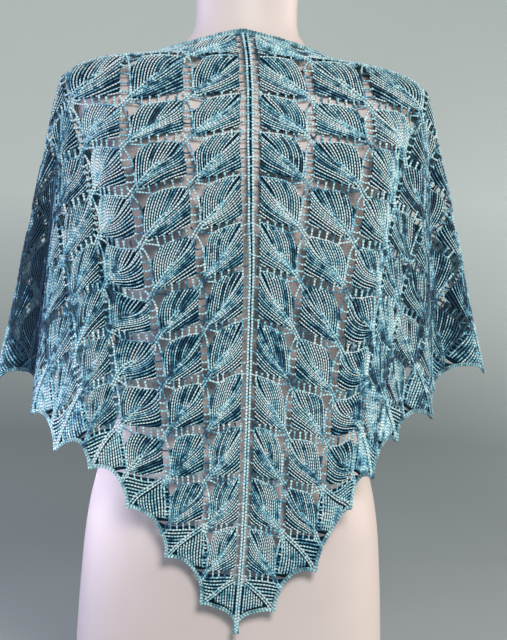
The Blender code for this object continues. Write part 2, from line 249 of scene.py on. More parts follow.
def makeForm():
    tall = form["sections"][-1][0]
    bpy.ops.mesh.primitive_cylinder_add(
        vertices=form["sides"], radius=1, depth=tall * mm, location=(0, 0, tall * mm / 2))
    bpy.ops.object.transform_apply(location=True)
    body = bpy.context.object
    body.name = "dressForm"
    selectEdges(body, lambda a, b: abs(a.z - b.z) > 0.1)
    bpy.ops.mesh.subdivide(number_cuts=form["rings"])
    bpy.ops.object.mode_set(mode="OBJECT")
    spots = np.array([v.co for v in body.data.vertices])
    section = table(form["sections"], ("height", "wide", "back", "front", "square"))
    z = spots[:, 2] / mm
    wide, back, front, square = (
        curveThrough(section["height"], section[n], z) for n in ("wide", "back", "front", "square"))
    turn = np.arctan2(spots[:, 1], spots[:, 0])
    c, s = np.cos(turn), np.sin(turn)
    x = wide * np.sign(c) * np.abs(c) ** (2 / square)
    y = np.where(s < 0, back, front) * np.sign(s) * np.abs(s) ** (2 / square)
    body.data.vertices.foreach_set("co", (np.stack([x, y, z], 1) * mm).ravel())
    rim = body.modifiers.new("rim", "BEVEL")
    rim.width, rim.segments = form["rimRound"] * mm, form["rimSteps"]
    rim.limit_method, rim.angle_limit = "ANGLE", math.radians(form["rimAngle"])
    bpy.ops.object.modifier_apply(modifier="rim")
    bpy.ops.object.shade_smooth()
    body.data.materials.append(lacquer)
    return body


dressForm = makeForm()
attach(dressForm, "root")
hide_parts("form_torso")
print("dress form made")


drape = {
    "repeat": 52, "clearance": 2.1, "ease": 2.0, "droop": 1.15,
    "summit": (158, -8, 706), "capReach": (47, 50), "capFall": (16, 20),
    # in repeats on the flat cloth
    "rows": 12, "lastRow": 13.3, "pointAcross": 0.04, "pointDown": 13.7,
    "shoulder": (2.4, 0.85), "capEdge": 0.70, "softness": 0.12, "blend": (2.0, 3.0),
    "gridStep": 0.03, "gridReach": 13.65, "gridTop": -0.15, "clothReach": 14.4, "clothDepth": 13.4,
    "rowTable": (  # row, spine x, y, z, pitch, edge y, left z, right z
        (0, -8, -55, 738, 60, 38, 698, 698), (1, -5, -80, 706, 65, -20, 708, 708),
        (2, -4, -100, 663.5, 66.5, -72, 650, 657), (3, -4, -113, 622, 66.5, -84, 604, 616),
        (4, -3, -120, 575.5, 62, -92, 552, 562), (5, -2, -124, 526, 57, -100, 494, 505),
        (6, 0, -126, 475, 52.5, -106, 440, 452), (7, 0, -127, 420.5, 49, -110, 396, 391),
        (9, 0, -128, 309, 43, -116, 298, 292), (11, -1, -128, 201.5, 40.5, -119, 202, 189),
        (13.3, -6.5, -127, 88, 37, -120, 94, 72)),
    "hemTable": (  # point, left x, y, z, right x, y, z
        (2, 82, -121, 165, 72, -121, 160), (3, 125, -120, 219, 114, -121, 221),
        (4, 165, -108, 258, 138, -110, 253), (5, 200, -75, 275, 168, -80, 293),
        (6, 225, -25, 310, 214, -40, 316), (7, 222, 35, 338, 225, 10, 346),
        (8, 268, 62, 337, 292, 45, 366), (9, 238, 112, 352, 248, 100, 372),
        (10, 196, 148, 330, 205, 140, 345), (11, 146, 150, 290, 150, 150, 300),
        (12, 108, 160, 236, 112, 160, 245), (13, 72, 140, 165, 78, 142, 172)),
    "capTable": (  # direction on the flat cloth, bearing round the shoulder
        (-100, -100), (-30, -28), (0, 0), (34, 56), (60, 92), (90, 135),
        (130, 172), (180, 205), (260, 260)),
    "edgeTurn": 125, "edgeFall": (-18, 6, -53),     # degrees, and the fall there in each repeat
    "fanBack": -100,    # degrees: the angles of the fan run from here right round
    # handwork pulls the rows about: how far in repeats, how often, and an uneven swing on top,
    # in full from a quarter of a repeat beside the spine
    "wander": {"across": (0.012, 7.3, 2.1, 3.1), "down": (0.014, 6.1, 1.7, 2.3)}, "wanderFrom": 0.25,
    # painted shade down the deep fold behind each arm: the strands' colour is darkened at this hem point,
    # this wide, by this much
    "foldShade": {"left": (7.25, 0.8, 1.0), "right": (6.7, 1.0, 0.5)},
    "foldShadeReach": (0.5, 4.5),       # it sets in over these repeats from the shoulder
}
rowNames = ("row", "x", "y", "z", "pitch", "edgeY", "leftZ", "rightZ")
rows = table(drape["rowTable"], rowNames)
hem = table(drape["hemTable"], ("point", "leftX", "leftY", "leftZ", "rightX", "rightY", "rightZ"))
cap = table(drape["capTable"], ("flat", "bearing"))
sideSign = {"left": -1, "right": 1}


def fanPolar(across, down):
    # places on the flat cloth as an angle and a reach from the shoulder
    east, south = np.abs(across) - drape["shoulder"][0], down - drape["shoulder"][1]
    angle = np.degrees(np.arctan2(east, south))
    return np.where(angle < drape["fanBack"], angle + 360, angle), np.hypot(east, south)


def capRim(angle):
    turn = np.radians(curveThrough(cap["flat"], cap["bearing"], angle))
    sine, cosine = np.sin(turn), np.cos(turn)
    x, y, z = drape["summit"]
    return np.stack([x + drape["capReach"][0] * sine, y - drape["capReach"][1] * cosine,
                     z - drape["capFall"][0] * sine - drape["capFall"][1] * cosine**2], -1)


def hemRays(side):
    across = hem["point"] + drape["pointAcross"]
    down = drape["pointDown"] - hem["point"]
    across[-1], down[-1] = drape["lastRow"], 0
    angles, lengths = fanPolar(across, down)
    ends = np.stack([hem[side + axis] for axis in "XYZ"], -1)
    falls = (ends - capRim(angles)) / (lengths - drape["capEdge"])[:, None]
    return np.append(angles, drape["edgeTurn"]), np.vstack([falls, drape["edgeFall"]])


def fanPlace(side, across, down):
    angle, reach = fanPolar(across, down)
    knots, falls = hemRays(side)
    fall = np.stack([curveThrough(knots, falls[:, i], angle) for i in range(3)], -1)
    past = softRamp(reach - drape["capEdge"], drape["softness"])[..., None]
    onCap = (reach[..., None] - past) / drape["capEdge"]
    summit = np.array(drape["summit"], float)
    spots = summit + onCap * (capRim(angle) - summit) + past * fall
    return spots * (sideSign[side], 1, 1)


def panelPlace(side, across, down):
    row = {name: curveThrough(rows["row"], rows[name], down) for name in rowNames}
    share = np.abs(across) / drape["shoulder"][0]
    return np.stack([row["x"] + across * row["pitch"],
                     row["y"] + (row["edgeY"] - row["y"]) * share**2,
                     row["z"] + (row[side + "Z"] - row["z"]) * share ** drape["droop"]], -1)


def hangCloth():
    # the whole cloth once on a fine flat grid, eased off the form where it touches
    step, reach = drape["gridStep"], drape["gridReach"]
    acrossLines = np.arange(-reach, reach + 0.01, step)
    downLines = np.arange(drape["gridTop"], reach, step)
    across, down = np.meshgrid(acrossLines, downLines, indexing="ij")
    spots = np.zeros(across.shape + (3,))
    for side, here in (("left", across < 0), ("right", across >= 0)):
        a, d = across[here], down[here]
        turned = softStep(*drape["blend"], np.abs(a))[:, None]
        spots[here] = panelPlace(side, a, d) * (1 - turned) + fanPlace(side, a, d) * turned
    skin = BVHTree.FromObject(dressForm, bpy.context.evaluated_depsgraph_get())
    near = (np.abs(across) + down < drape["clothReach"]) & (down < drape["clothDepth"])
    flat = spots[near]
    for i, spot in enumerate(flat):
        place = Vector(spot * mm)
        foot, normal, _, _ = skin.find_nearest(place)
        depth = (place - foot).dot(normal) / mm
        # further off than a few times the ease, the lift comes to nothing
        if depth < 6 * drape["ease"]:
            rise = float(softRamp(drape["clearance"] - depth, drape["ease"]))
            flat[i] = spot + np.array(normal) * rise
    spots[near] = flat
    along, over = np.gradient(spots, axis=0), np.gradient(spots, axis=1)
    normals = -np.cross(along, over)
    normals /= np.maximum(np.linalg.norm(normals, axis=-1, keepdims=True), 1e-9)
    return acrossLines[0], downLines[0], np.concatenate([spots, normals], -1)


gridAcross, gridDown, gridCloth = hangCloth()
print("cloth hung on the form")


def wander(way, along, over):
    size, pace, swing, swingPace = drape["wander"][way]
    return size * np.sin(along * pace + swing * np.sin(over * swingPace))


def onCloth(across, down, height):
    # places on the cloth's inner face, raised by height along its normal, in millimetres;
    # the spine itself stays straight
    across = across + wander("across", down, across) * np.clip(np.abs(across) / drape["wanderFrom"], 0, 1)
    down = down + wander("down", across, down)
    u = (across - gridAcross) / drape["gridStep"]
    v = (down - gridDown) / drape["gridStep"]
    i = np.clip(u.astype(int), 0, gridCloth.shape[0] - 2)
    j = np.clip(v.astype(int), 0, gridCloth.shape[1] - 2)
    s, t = (u - i)[..., None], (v - j)[..., None]
    both = (gridCloth[i, j] * (1 - s) * (1 - t) + gridCloth[i + 1, j] * s * (1 - t)
            + gridCloth[i, j + 1] * (1 - s) * t + gridCloth[i + 1, j + 1] * s * t)
    normal = both[..., 3:] / np.linalg.norm(both[..., 3:], axis=-1, keepdims=True)
    return both[..., :3] + normal * np.asarray(height)[..., None], normal


def foldShade(across, down):
    # how much painted shade darkens the strands at a place on the flat cloth, down each deep fold
    point = hem["point"]
    angles, _ = fanPolar(point + drape["pointAcross"], drape["pointDown"] - point)
    angle, reach = fanPolar(across, down)
    at = np.interp(angle, angles, point)
    shades = {}
    for side, (middle, wide, depth) in drape["foldShade"].items():
        fade = softStep(*drape["foldShadeReach"], reach)
        shades[side] = depth * np.exp(-((at - middle) / wide) ** 2) * fade
    return np.where(across < 0, shades["left"], shades["right"])


raisedSlot, sunkSlot, bandSlot = range(3)


def newKnitting(seed):
    # closed strands and closed webs gather here until makePiece makes one mesh of them
    return {"spots": [], "faces": [], "yarn": [], "slots": [], "count": 0,
            "random": np.random.default_rng(seed)}


def addFaces(knitting, spots, faces, yarn, slot):
    knitting["spots"].append(spots)
    knitting["yarn"].append(yarn)
    knitting["faces"].append(faces + knitting["count"])
    knitting["slots"].append(np.broadcast_to(slot, len(faces)))
    knitting["count"] += len(spots)


def addStrands(knitting, across, down, height, radius, slot=raisedSlot, sides=4, tone=0.5, spread=0.5):
    # across, down, height and radius have one row for each strand, of four or six sides
    across, down, height, radius = np.broadcast_arrays(across, down, height, radius)
    centre, normal = onCloth(across, down, height)
    along = np.gradient(centre, axis=1)
    along /= np.maximum(np.linalg.norm(along, axis=-1, keepdims=True), 1e-9)
    side = np.cross(along, normal)
    side /= np.maximum(np.linalg.norm(side, axis=-1, keepdims=True), 1e-9)
    up = np.cross(side, along)
    turn = (np.arange(sides) + 0.5) * 2 * math.pi / sides
    ring = (centre[:, :, None] + radius[:, :, None, None] * (
        np.cos(turn)[:, None] * side[:, :, None] + np.sin(turn)[:, None] * up[:, :, None]))
    many, long = across.shape
    index = np.arange(many * long * sides).reshape(many, long, sides)
    after = np.roll(index, -1, axis=2)
    walls = np.stack([index[:, :-1], index[:, 1:], after[:, 1:], after[:, :-1]], -1).reshape(-1, 4)
    if sides == 4:
        caps = np.concatenate([index[:, 0], index[:, -1, ::-1]])
    else:
        caps = np.concatenate([
            index[:, 0, [0, 1, 2, 3]], index[:, 0, [0, 3, 4, 5]],
            index[:, -1, [3, 2, 1, 0]], index[:, -1, [5, 4, 3, 0]]])
    length = np.zeros((many, long))
    length[:, 1:] = np.cumsum(np.linalg.norm(np.diff(centre, axis=1), axis=-1), axis=1)
    # a strand's tone: its dye and a random spread, less the painted shade down the folds
    tones = tone + spread * (knitting["random"].random((many, 1)) - 0.5) - foldShade(across, down)
    yarn = np.stack([length * mm + knitting["random"].random((many, 1)), tones, 0 * length], -1)
    yarn = np.repeat(yarn[:, :, None], sides, axis=2)
    addFaces(knitting, ring.reshape(-1, 3), np.concatenate([walls, caps]), yarn.reshape(-1, 3), slot)


def addWebs(knitting, across, down, low, high, sign=1):
    # across and down hold one grid for each patch, closed between two heights
    many, wide, long = across.shape
    total = many * wide * long
    index = np.arange(total).reshape(many, wide, long)
    top = np.stack([index[:, :-1, :-1], index[:, :-1, 1:], index[:, 1:, 1:], index[:, 1:, :-1]], -1)
    top = top.reshape(-1, 4)[:, ::sign]
    rim = np.concatenate([
        index[:, :, 0], index[:, -1, 1:], index[:, ::-1, -1][:, 1:], index[:, 0, ::-1][:, 1:]], 1)
    start, end = rim[:, :-1].reshape(-1), rim[:, 1:].reshape(-1)
    walls = np.stack([start, end, end + total, start + total], -1)[:, ::sign]
    spots = np.concatenate([onCloth(across, down, height)[0].reshape(-1, 3) for height in (low, high)])
    webTone = 0.2
    yarn = np.tile([0.0, webTone, 0.0], (len(spots), 1))
    yarn[:, 0] = np.tile(down.ravel(), 2) * drape["repeat"] * mm
    # the web's outer face and rim take the purl-side yarn, painted shade between the ribs; its inner face
    # takes the garter yarn
    slots = np.repeat([sunkSlot, bandSlot, sunkSlot], [len(top), len(top), len(walls)])
    addFaces(knitting, spots, np.concatenate([top + total, top[:, ::-1], walls[:, ::-1]]), yarn, slots)


def makePiece(knitting, name):
    spots = np.concatenate(knitting["spots"]) * mm
    faces = np.concatenate(knitting["faces"])
    mesh = bpy.data.meshes.new(name)
    mesh.vertices.add(len(spots))
    mesh.vertices.foreach_set("co", spots.ravel())
    mesh.loops.add(len(faces) * 4)
    mesh.loops.foreach_set("vertex_index", faces.ravel())
    mesh.polygons.add(len(faces))
    mesh.polygons.foreach_set("loop_start", np.arange(len(faces)) * 4)
    mesh.polygons.foreach_set("material_index", np.concatenate(knitting["slots"]))
    for material in (yarnRaised, yarnSunk, yarnBand):
        mesh.materials.append(material)
    mesh.update(calc_edges=True)
    yarn = mesh.attributes.new("yarn", "FLOAT_VECTOR", "POINT")
    yarn.data.foreach_set("vector", np.concatenate(knitting["yarn"]).ravel())
    mesh.shade_smooth()
    piece = bpy.data.objects.new(name, mesh)
    bpy.context.scene.collection.objects.link(piece)
    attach(piece, "root")
    print(name, "has", 2 * len(faces), "triangles")
    return piece


border = {
    "width": 0.13, "radius": 1.55, "swell": 0.22, "height": 1.5, "pitch": 4.4, "tone": 0.4, "spread": 0.2,
    "ridgeRise": (0.3, -0.5, 0.3, -0.5),    # garter ridges stand above the rows between them
    "wobble": 0.006, "wobbleLong": 0.35,
    "webInset": 0.01, "webHeights": (0.3, 1.3), "webSize": (500, 3),
}
leaf = {
    # across and down within a repeat, from the spine side and the top
    "topEdge": ((0.07, 0.12), (0.20, 0.10), (0.50, 0.10), (0.65, 0.13), (0.74, 0.17), (0.90, 0.42)),
    "topEdgeBySpine": ((0.14, 0.02), (0.185, 0.0), (0.41, 0.02), (0.59, 0.06), (0.74, 0.13), (0.90, 0.42)),
    "midrib": ((0.07, 0.12), (0.24, 0.31), (0.45, 0.50), (0.90, 0.93)),
    "midribBySpine": ((0.14, 0.0), (0.30, 0.24), (0.45, 0.48), (0.90, 0.93)),
    "bottomEdge": ((0.07, 0.84), (0.18, 0.87), (0.52, 0.94), (0.69, 0.975), (0.92, 0.95)),
    "innerEdge": 0.075, "innerEdgeBySpine": 0.165, "outerEdge": 0.925,
    # ribs above the midrib: where one starts on the top edge, and where it ends on the midrib
    "fanAbove": ((0.19, 0.45), (0.27, 0.52), (0.35, 0.59), (0.43, 0.655), (0.51, 0.72),
                 (0.59, 0.78), (0.66, 0.84), (0.74, 0.90)),
    "firstAbove": 0.12, "lastAbove": 0.74,      # out from the inner edge, and across
    # ribs below it: how far down the inner edge one starts, and how far across and down it ends
    "fanBelow": ((0, 0.64, 0.655), (0.15, 0.77, 0.785), (0.3, 0.86, 0.87), (0.45, 0.90, 0.925),
                 (0.6, 0.84, 0.95), (0.75, 0.68, 0.95), (0.88, 0.50, 0.935), (1, 0.28, 0.90)),
    "firstBelow": 0.085, "lastBelow": 0.84,     # under the midrib, and down
    # two short ribs between the fans: one from the top edge, one from the inner edge
    "shortFrom": (0.055, 0.05), "shortTo": (0.49, 0.57), "shortGap": 0.012,
    "steep": 1.5, "level": 0.42,                # slopes of the ribs at the corner and at the bottom
    "turnGap": 0.03, "turnLeast": 0.02, "edgeRibGap": 0.005,
    "ribs": ((10, 9), (9, 9), (9, 9)),          # above and below: upper back, lower back, wings
    "lowerBack": 6, "wing": 3,                  # from this row, and from this column
    # the wings' leaves are toned darker than the back's: painted shade for the wings, which turn away from
    # the light
    "tones": (0.57, 0.5, 0.38), "slim": (1, 0.97, 0.72), "slimPower": 0.7, "spread": 1.2,
    "ribRadius": 0.76, "ribHeight": 1.6, "archHeight": 0.4, "archTurn": 0.8, "ribPoints": 18,
    "chainRadius": 1.0, "chainHeight": 2.3, "chainApart": 0.030, "chainPoints": 20, "chainTone": -0.25,
    "chainSpan": (0.47, 1.10), "chainOpens": (0.44, 0.10, 0.3),
    "stem": (0.90, 0.91, 1.36),                 # starts this far across and down, with this slope
    "webHeights": (0.25, 0.95), "webSize": 9,
}
openwork = {
    "posts": (0.17, 0.31, 0.45, 0.59, 0.72), "postFrom": -0.07, "postLong": 0.19,
    "postRadius": 1.0, "postHeight": 1.3, "flare": 0.7, "points": 7,
    "rungs": (0.36, 0.52, 0.68, 0.82), "rungFrom": 0.91, "rungLong": 0.17, "rungSag": 0.02,
    # wingTone darkens the openwork in the wings: painted shade, as for the wings' leaves
    "rungRadius": 0.95, "tone": 0.27, "wingTone": -0.02, "spread": 0.8,
    "links": (  # from, bend, to
        ((0.78, -0.03), (0.85, 0.02), (0.90, -0.02)),
        ((0.70, 0.12), (0.78, 0.08), (0.93, 0.04)),
        ((1.00, 0.04), (1.05, 0.0), (1.08, -0.09)),
        ((1.00, 0.12), (0.95, 0.20), (0.92, 0.40)),
        ((1.06, 0.16), (1.03, 0.22), (1.06, 0.30)),
        ((0.915, 0.34), (0.915, 0.60), (0.915, 0.86))),
}
aslant = np.array([0.7, -0.7])      # a step square to the midribs and stems


def bend(start, control, end, count):
    t = np.linspace(0, 1, count)[:, None]
    start, control, end = np.array(start), np.array(control), np.array(end)
    return start * (1 - t)**2 + control * 2 * t * (1 - t) + end * t**2


def readEdge(edge, at):
    return np.interp(at, *np.array(edge).T)


def belowBorder(down):
    return np.maximum(down, border["width"] - border["webInset"])


def leafRibs(bySpine, above, belowCount):
    # two fans of knit ribs: each leaves the corner of the leaf along its diagonal and
    # turns upright above the midrib, or level below it
    name = "BySpine" if bySpine else ""
    top, midrib, inner = leaf["topEdge" + name], leaf["midrib" + name], leaf["innerEdge" + name]
    steep, level, least = leaf["steep"], leaf["level"], leaf["turnLeast"]
    ribs = []
    for startP in np.linspace(inner + leaf["firstAbove"], leaf["lastAbove"], above - bySpine):
        endP = readEdge(leaf["fanAbove"], startP)
        startQ, endQ = readEdge(top, startP), readEdge(midrib, endP)
        turnQ = min(startQ + (endP - startP) * steep, endQ - leaf["turnGap"])
        ribs.append(bend((startP, startQ), (endP, turnQ), (endP, endQ), leaf["ribPoints"]))
    below = np.array(leaf["fanBelow"])
    firstQ = readEdge(midrib, inner) + leaf["firstBelow"]
    ends = []
    for share in np.linspace(0, 1, belowCount + bySpine):
        endP, endQ = (np.interp(share, below[:, 0], below[:, i]) for i in (1, 2))
        ends.append((inner, firstQ + (leaf["lastBelow"] - firstQ) * share, endP, endQ))
    shortP = inner + leaf["shortFrom"][0]
    shortStarts = ((shortP, readEdge(top, shortP)), (inner, firstQ - leaf["shortFrom"][1]))
    for (startP, startQ), endP in zip(shortStarts, leaf["shortTo"]):
        ends.append((startP, startQ, endP, readEdge(midrib, endP) + leaf["shortGap"]))
    for startP, startQ, endP, endQ in ends:
        turn = ((endQ - startQ) - level * (endP - startP)) / (steep - level)
        turn = min(max(turn, least), endP - startP - least)
        control = (startP + turn, startQ + turn * steep)
        ribs.append(bend((startP, startQ), control, (endP, endQ), leaf["ribPoints"]))
    edge = np.linspace(inner, leaf["lastAbove"], leaf["ribPoints"])
    ribs.append(np.stack([edge, readEdge(top, edge) - leaf["edgeRibGap"]], 1))
    return np.array(ribs)


def leafChains(bySpine):
    # the double chain of the midrib, which goes on as the stem to the next leaf
    midrib = leaf["midribBySpine" if bySpine else "midrib"]
    stemP, stemQ, slope = leaf["stem"]
    opens, over, closed = leaf["chainOpens"]
    p = np.linspace(*leaf["chainSpan"], leaf["chainPoints"])
    q = np.where(p < stemP, readEdge(midrib, p), stemQ + (p - stemP) * slope)
    apart = leaf["chainApart"] * np.clip((p - opens) / over, closed, 1)
    line, aside = np.stack([p, q], 1), apart[:, None] * aslant
    return np.array([line + aside, line - aside])


def leafWeb(bySpine):
    name = "BySpine" if bySpine else ""
    inner, outer = leaf["innerEdge" + name], leaf["outerEdge"]
    shares = np.linspace(0, 1, leaf["webSize"])
    u, v = np.meshgrid(shares, shares, indexing="ij")
    p = inner + (outer - inner) * u
    top, bottom = readEdge(leaf["topEdge" + name], p), readEdge(leaf["bottomEdge"], p)
    return np.stack([p, top + (bottom - top) * v], -1)[None]


def spreadOver(shapes, cells, sign):
    # copies shapes given within a repeat to each cell (column, row)
    cells = np.array(cells, float).reshape(-1, *[1] * (shapes.ndim - 1), 2)
    placed = (shapes[None] + cells).reshape(-1, *shapes.shape[1:])
    return sign * placed[..., 0], placed[..., 1]


def beads(count, radius, swell=0.24, ends=0.75):
    # a strand is fuller in the middle of each stitch and thinner at its two ends
    size = radius * (1 + swell * np.where(np.arange(count) % 2, 1, -1))
    size[[0, -1]] *= ends
    return size


def zoneOf(column, row):
    # the upper back, the lower back or a wing, in the order of the leaf's tables
    return 2 if column >= leaf["wing"] else int(row >= leaf["lowerBack"])


def knitLeaves(ground, raised, cells, sign, bySpine, zone):
    slim, tone = leaf["slim"][zone], leaf["tones"][zone]
    t = np.linspace(0, 1, leaf["ribPoints"])
    arch = leaf["archHeight"] * np.sin(math.pi * t * leaf["archTurn"])
    height = leaf["ribHeight"] * slim ** leaf["slimPower"] + arch
    across, down = spreadOver(leafRibs(bySpine, *leaf["ribs"][zone]), cells, sign)
    addStrands(raised, across, belowBorder(down), height,
               beads(leaf["ribPoints"], leaf["ribRadius"] * slim), tone=tone, spread=leaf["spread"])
    across, down = spreadOver(leafChains(bySpine), cells, sign)
    addStrands(ground, across, down, leaf["chainHeight"],
               beads(leaf["chainPoints"], leaf["chainRadius"]), tone=tone + leaf["chainTone"])
    across, down = spreadOver(leafWeb(bySpine), cells, sign)
    addWebs(ground, across, belowBorder(down), *leaf["webHeights"], sign=sign)


def postsAndRungs(look, points, sag=0):
    t = np.linspace(0, 1, points)
    postDown, rungAcross = (look[n + "From"] + look[n + "Long"] * t for n in ("post", "rung"))
    posts = [np.stack([p + 0 * t, postDown], 1) for p in look["posts"]]
    rungs = [np.stack([rungAcross, q + sag * np.sin(math.pi * t)], 1) for q in look["rungs"]]
    return np.array(posts), np.array(rungs)


def knitOpenwork(ground, cells, sign):
    # posts and links above each leaf but the top row's, and rungs beside every leaf
    tone = openwork["wingTone" if cells[0][0] >= leaf["wing"] else "tone"]
    lower, points = [c for c in cells if c[1] > 0], openwork["points"]
    flare = 1 + openwork["flare"] * np.abs(2 * np.linspace(0, 1, points) - 1)**2
    posts, rungs = postsAndRungs(openwork, points, openwork["rungSag"])
    links = np.array([bend(*link, points) for link in openwork["links"]])
    for shapes, here, radius in ((posts, lower, openwork["postRadius"]),
                                 (links, lower, openwork["postRadius"]),
                                 (rungs, cells, openwork["rungRadius"])):
        across, down = spreadOver(shapes, here, sign)
        addStrands(ground, across, down, openwork["postHeight"], radius * flare,
                   tone=tone, spread=openwork["spread"])


def makeLace(side, columns, name):
    # the ground has the webs, stems and openwork; the raised ribs are a piece of their own
    sign = sideSign[side]
    cells = [(c, r) for c in columns for r in range(drape["rows"] - c)]
    seed = len(name) + columns[0]
    ground, raised = newKnitting(seed), newKnitting(seed + 50)
    for bySpine in (True, False):
        for zone in range(len(leaf["ribs"])):
            here = [c for c in cells if (c[0] == 0) == bySpine and zoneOf(*c) == zone]
            if here:
                knitLeaves(ground, raised, here, sign, bySpine, zone)
    knitOpenwork(ground, cells, sign)
    piece = makePiece(ground, name)
    ribs = makePiece(raised, name + "Ribs")
    size = drape["repeat"] * mm
    return piece, ribs, (len(columns) * size, (drape["rows"] - columns[0]) * size), len(cells) * size**2


laceParts = {}
for side in ("left", "right"):
    for part, columns in (("Back", range(0, 4)), ("Wing", range(4, 12))):
        name = side + "Lace" + part
        laceParts[name] = makeLace(side, columns, name)


spine = {
    "chainAcross": 0.036, "radius": 1.2, "height": 2.3, "pitch": 4.2, "tone": 0.55, "spread": 0.3,
    "closing": 0.3, "closed": 0.35,     # the two chains draw together over the last rows
    "rungSpan": (0.22, 12.2), "rungGap": 0.21, "rungOut": 0.175, "rungSag": 0.03, "rungPoints": 9,
    # the ladder's rungs are toned dark: painted shade for the ladder, which lies in the shadow of the cloth
    "rungHeight": 1.1, "rungRadius": 0.9, "rungSwell": 0.1, "rungTone": 0.2,
    "webHalf": 0.03, "webHeights": (0.3, 1.2), "webSize": (3, 240),
    "chainStop": 0.02, "webStop": 0.03,     # short of the tip
}


def webStrip(acrossEnds, downEnds, size):
    across, down = (np.linspace(*ends, count) for ends, count in zip((acrossEnds, downEnds), size))
    p, q = np.meshgrid(across, down, indexing="ij")
    return p[None], q[None]


def makeSpine():
    knitting = newKnitting(seed=5)
    first, last = border["width"], drape["lastRow"]
    count = int((last - first) * drape["repeat"] / spine["pitch"] * 2)
    down = np.linspace(first, last - spine["chainStop"], count)
    close = np.clip((last - down) / spine["closing"], spine["closed"], 1)
    across = np.array([-1, 1])[:, None] * spine["chainAcross"] * close
    addStrands(knitting, across, down + 0 * across, spine["height"], beads(count, spine["radius"]),
               sides=6, tone=spine["tone"], spread=spine["spread"])
    rungDown = np.arange(*spine["rungSpan"], spine["rungGap"])
    t = np.linspace(-1, 1, spine["rungPoints"])
    across = spine["rungOut"] * t + 0 * rungDown[:, None]
    down = rungDown[:, None] + spine["rungSag"] * np.abs(t)
    addStrands(knitting, across, down, spine["rungHeight"],
               beads(spine["rungPoints"], spine["rungRadius"], spine["rungSwell"]), tone=spine["rungTone"])
    half, ends = spine["webHalf"], (first, last - spine["webStop"])
    across, down = webStrip((-half, half), ends, spine["webSize"])
    addWebs(knitting, across, down, *spine["webHeights"])
    return makePiece(knitting, "centreSpine")


def makeBorder():
    knitting = newKnitting(seed=6)
    half = drape["lastRow"] - border["width"]
    ridges = len(border["ridgeRise"])
    count = int(2 * half * drape["repeat"] / border["pitch"] * 2)
    across = np.linspace(-half, half, count)
    downs = (np.arange(ridges) + 0.5) / ridges * border["width"]
    wobble = border["wobble"] * np.sin(across * 2 * math.pi / border["wobbleLong"])
    down = downs[:, None] + wobble
    height = border["height"] + np.array(border["ridgeRise"])[:, None]
    addStrands(knitting, across + 0 * down, down, height, beads(count, border["radius"], border["swell"]),
               slot=bandSlot, tone=border["tone"], spread=border["spread"])
    inset = border["webInset"]
    across, down = webStrip((-half, half), (inset, border["width"] - inset), border["webSize"])
    addWebs(knitting, across, down, *border["webHeights"])
    return makePiece(knitting, "topBorder")


edging = {
    "squareness": 2.3, "perArc": 26, "rounding": 9, "insetLeast": 0.4, "pointDrop": 0.70,
    "frontEdge": ((13.04, 0.70), (13.17, 0.14)), "frontPoints": 12, "frontSlope": 0.2,
    "bandRows": (0.022, 0.066), "bandRadius": 1.25, "bandSwell": 0.25, "bandHeight": 1.5,
    "bandPitch": 4.2, "bandTop": 0.14, "bandTone": 0.5,
    "curlReach": 4, "curlInset": 0.03, "curlRadius": 2.0, "curlHeight": 2.6, "curlShare": (0.12, 0.88),
    "curlTone": 0.6,
    # the fan at each point, across and down from the corner where the last leaves meet
    "stemFrom": (-0.08, -0.08), "firstStemFrom": (0.12, 0.12),
    "stemTo": (0.98, 0.66), "lastStemTo": (0.98, 0.62),
    "stemBow": 0.03, "stemPoints": 16, "stemTone": 0.65, "fanTop": 0.15,
    "levelRibs": (0.07, 0.62), "uprightRibs": (0.03, 0.96), "firstUprightRibs": (0.14, 0.96),
    "ribGap": 0.072, "ribBow": 0.03, "ribLeast": 0.08, "ribPoints": 14,
    "ribRadius": 0.95, "ribHeight": 1.6, "ribTone": 0.45,
    "stemGap": 0.05, "hemGap": 0.10,
    "tipArc": (1.30, 0.6, 0.13),        # down to the tip of the spine, up to its first notch, and a gap
    "notch": (0.30, 0.84),              # up to here across, the ribs reach no further down
    # the web runs from these corners, at these shares of its length, out to the hem
    "webShares": (0, 0.42, 0.55, 1.0), "webInset": 0.06, "webSize": 6,
    "webCorners": ((-0.06, 0.90), (-0.06, 0.08), (0.14, 0.0), (0.94, 0.0)),
    "firstWebCorners": ((0.07, 0.62), (0.07, 0.2), (0.2, 0.02), (0.94, 0.0)),
    "lastWebCorners": ((-0.06, 0.90), (-0.06, 0.30), (0.1, 0.16), (1.05, 0.16)),
    "posts": (0.25, 0.42, 0.58, 0.74, 0.90), "postFrom": -0.08, "postLong": 0.17,
    "rungs": (0.10, 0.28, 0.44, 0.60, 0.76), "rungFrom": -0.10, "rungLong": 0.16,
    "openPoints": 6, "openSwell": 0.1, "openTone": 0.35,
    "flat": (1.0, 0.05), "area": 0.0387,    # metres and square metres
}


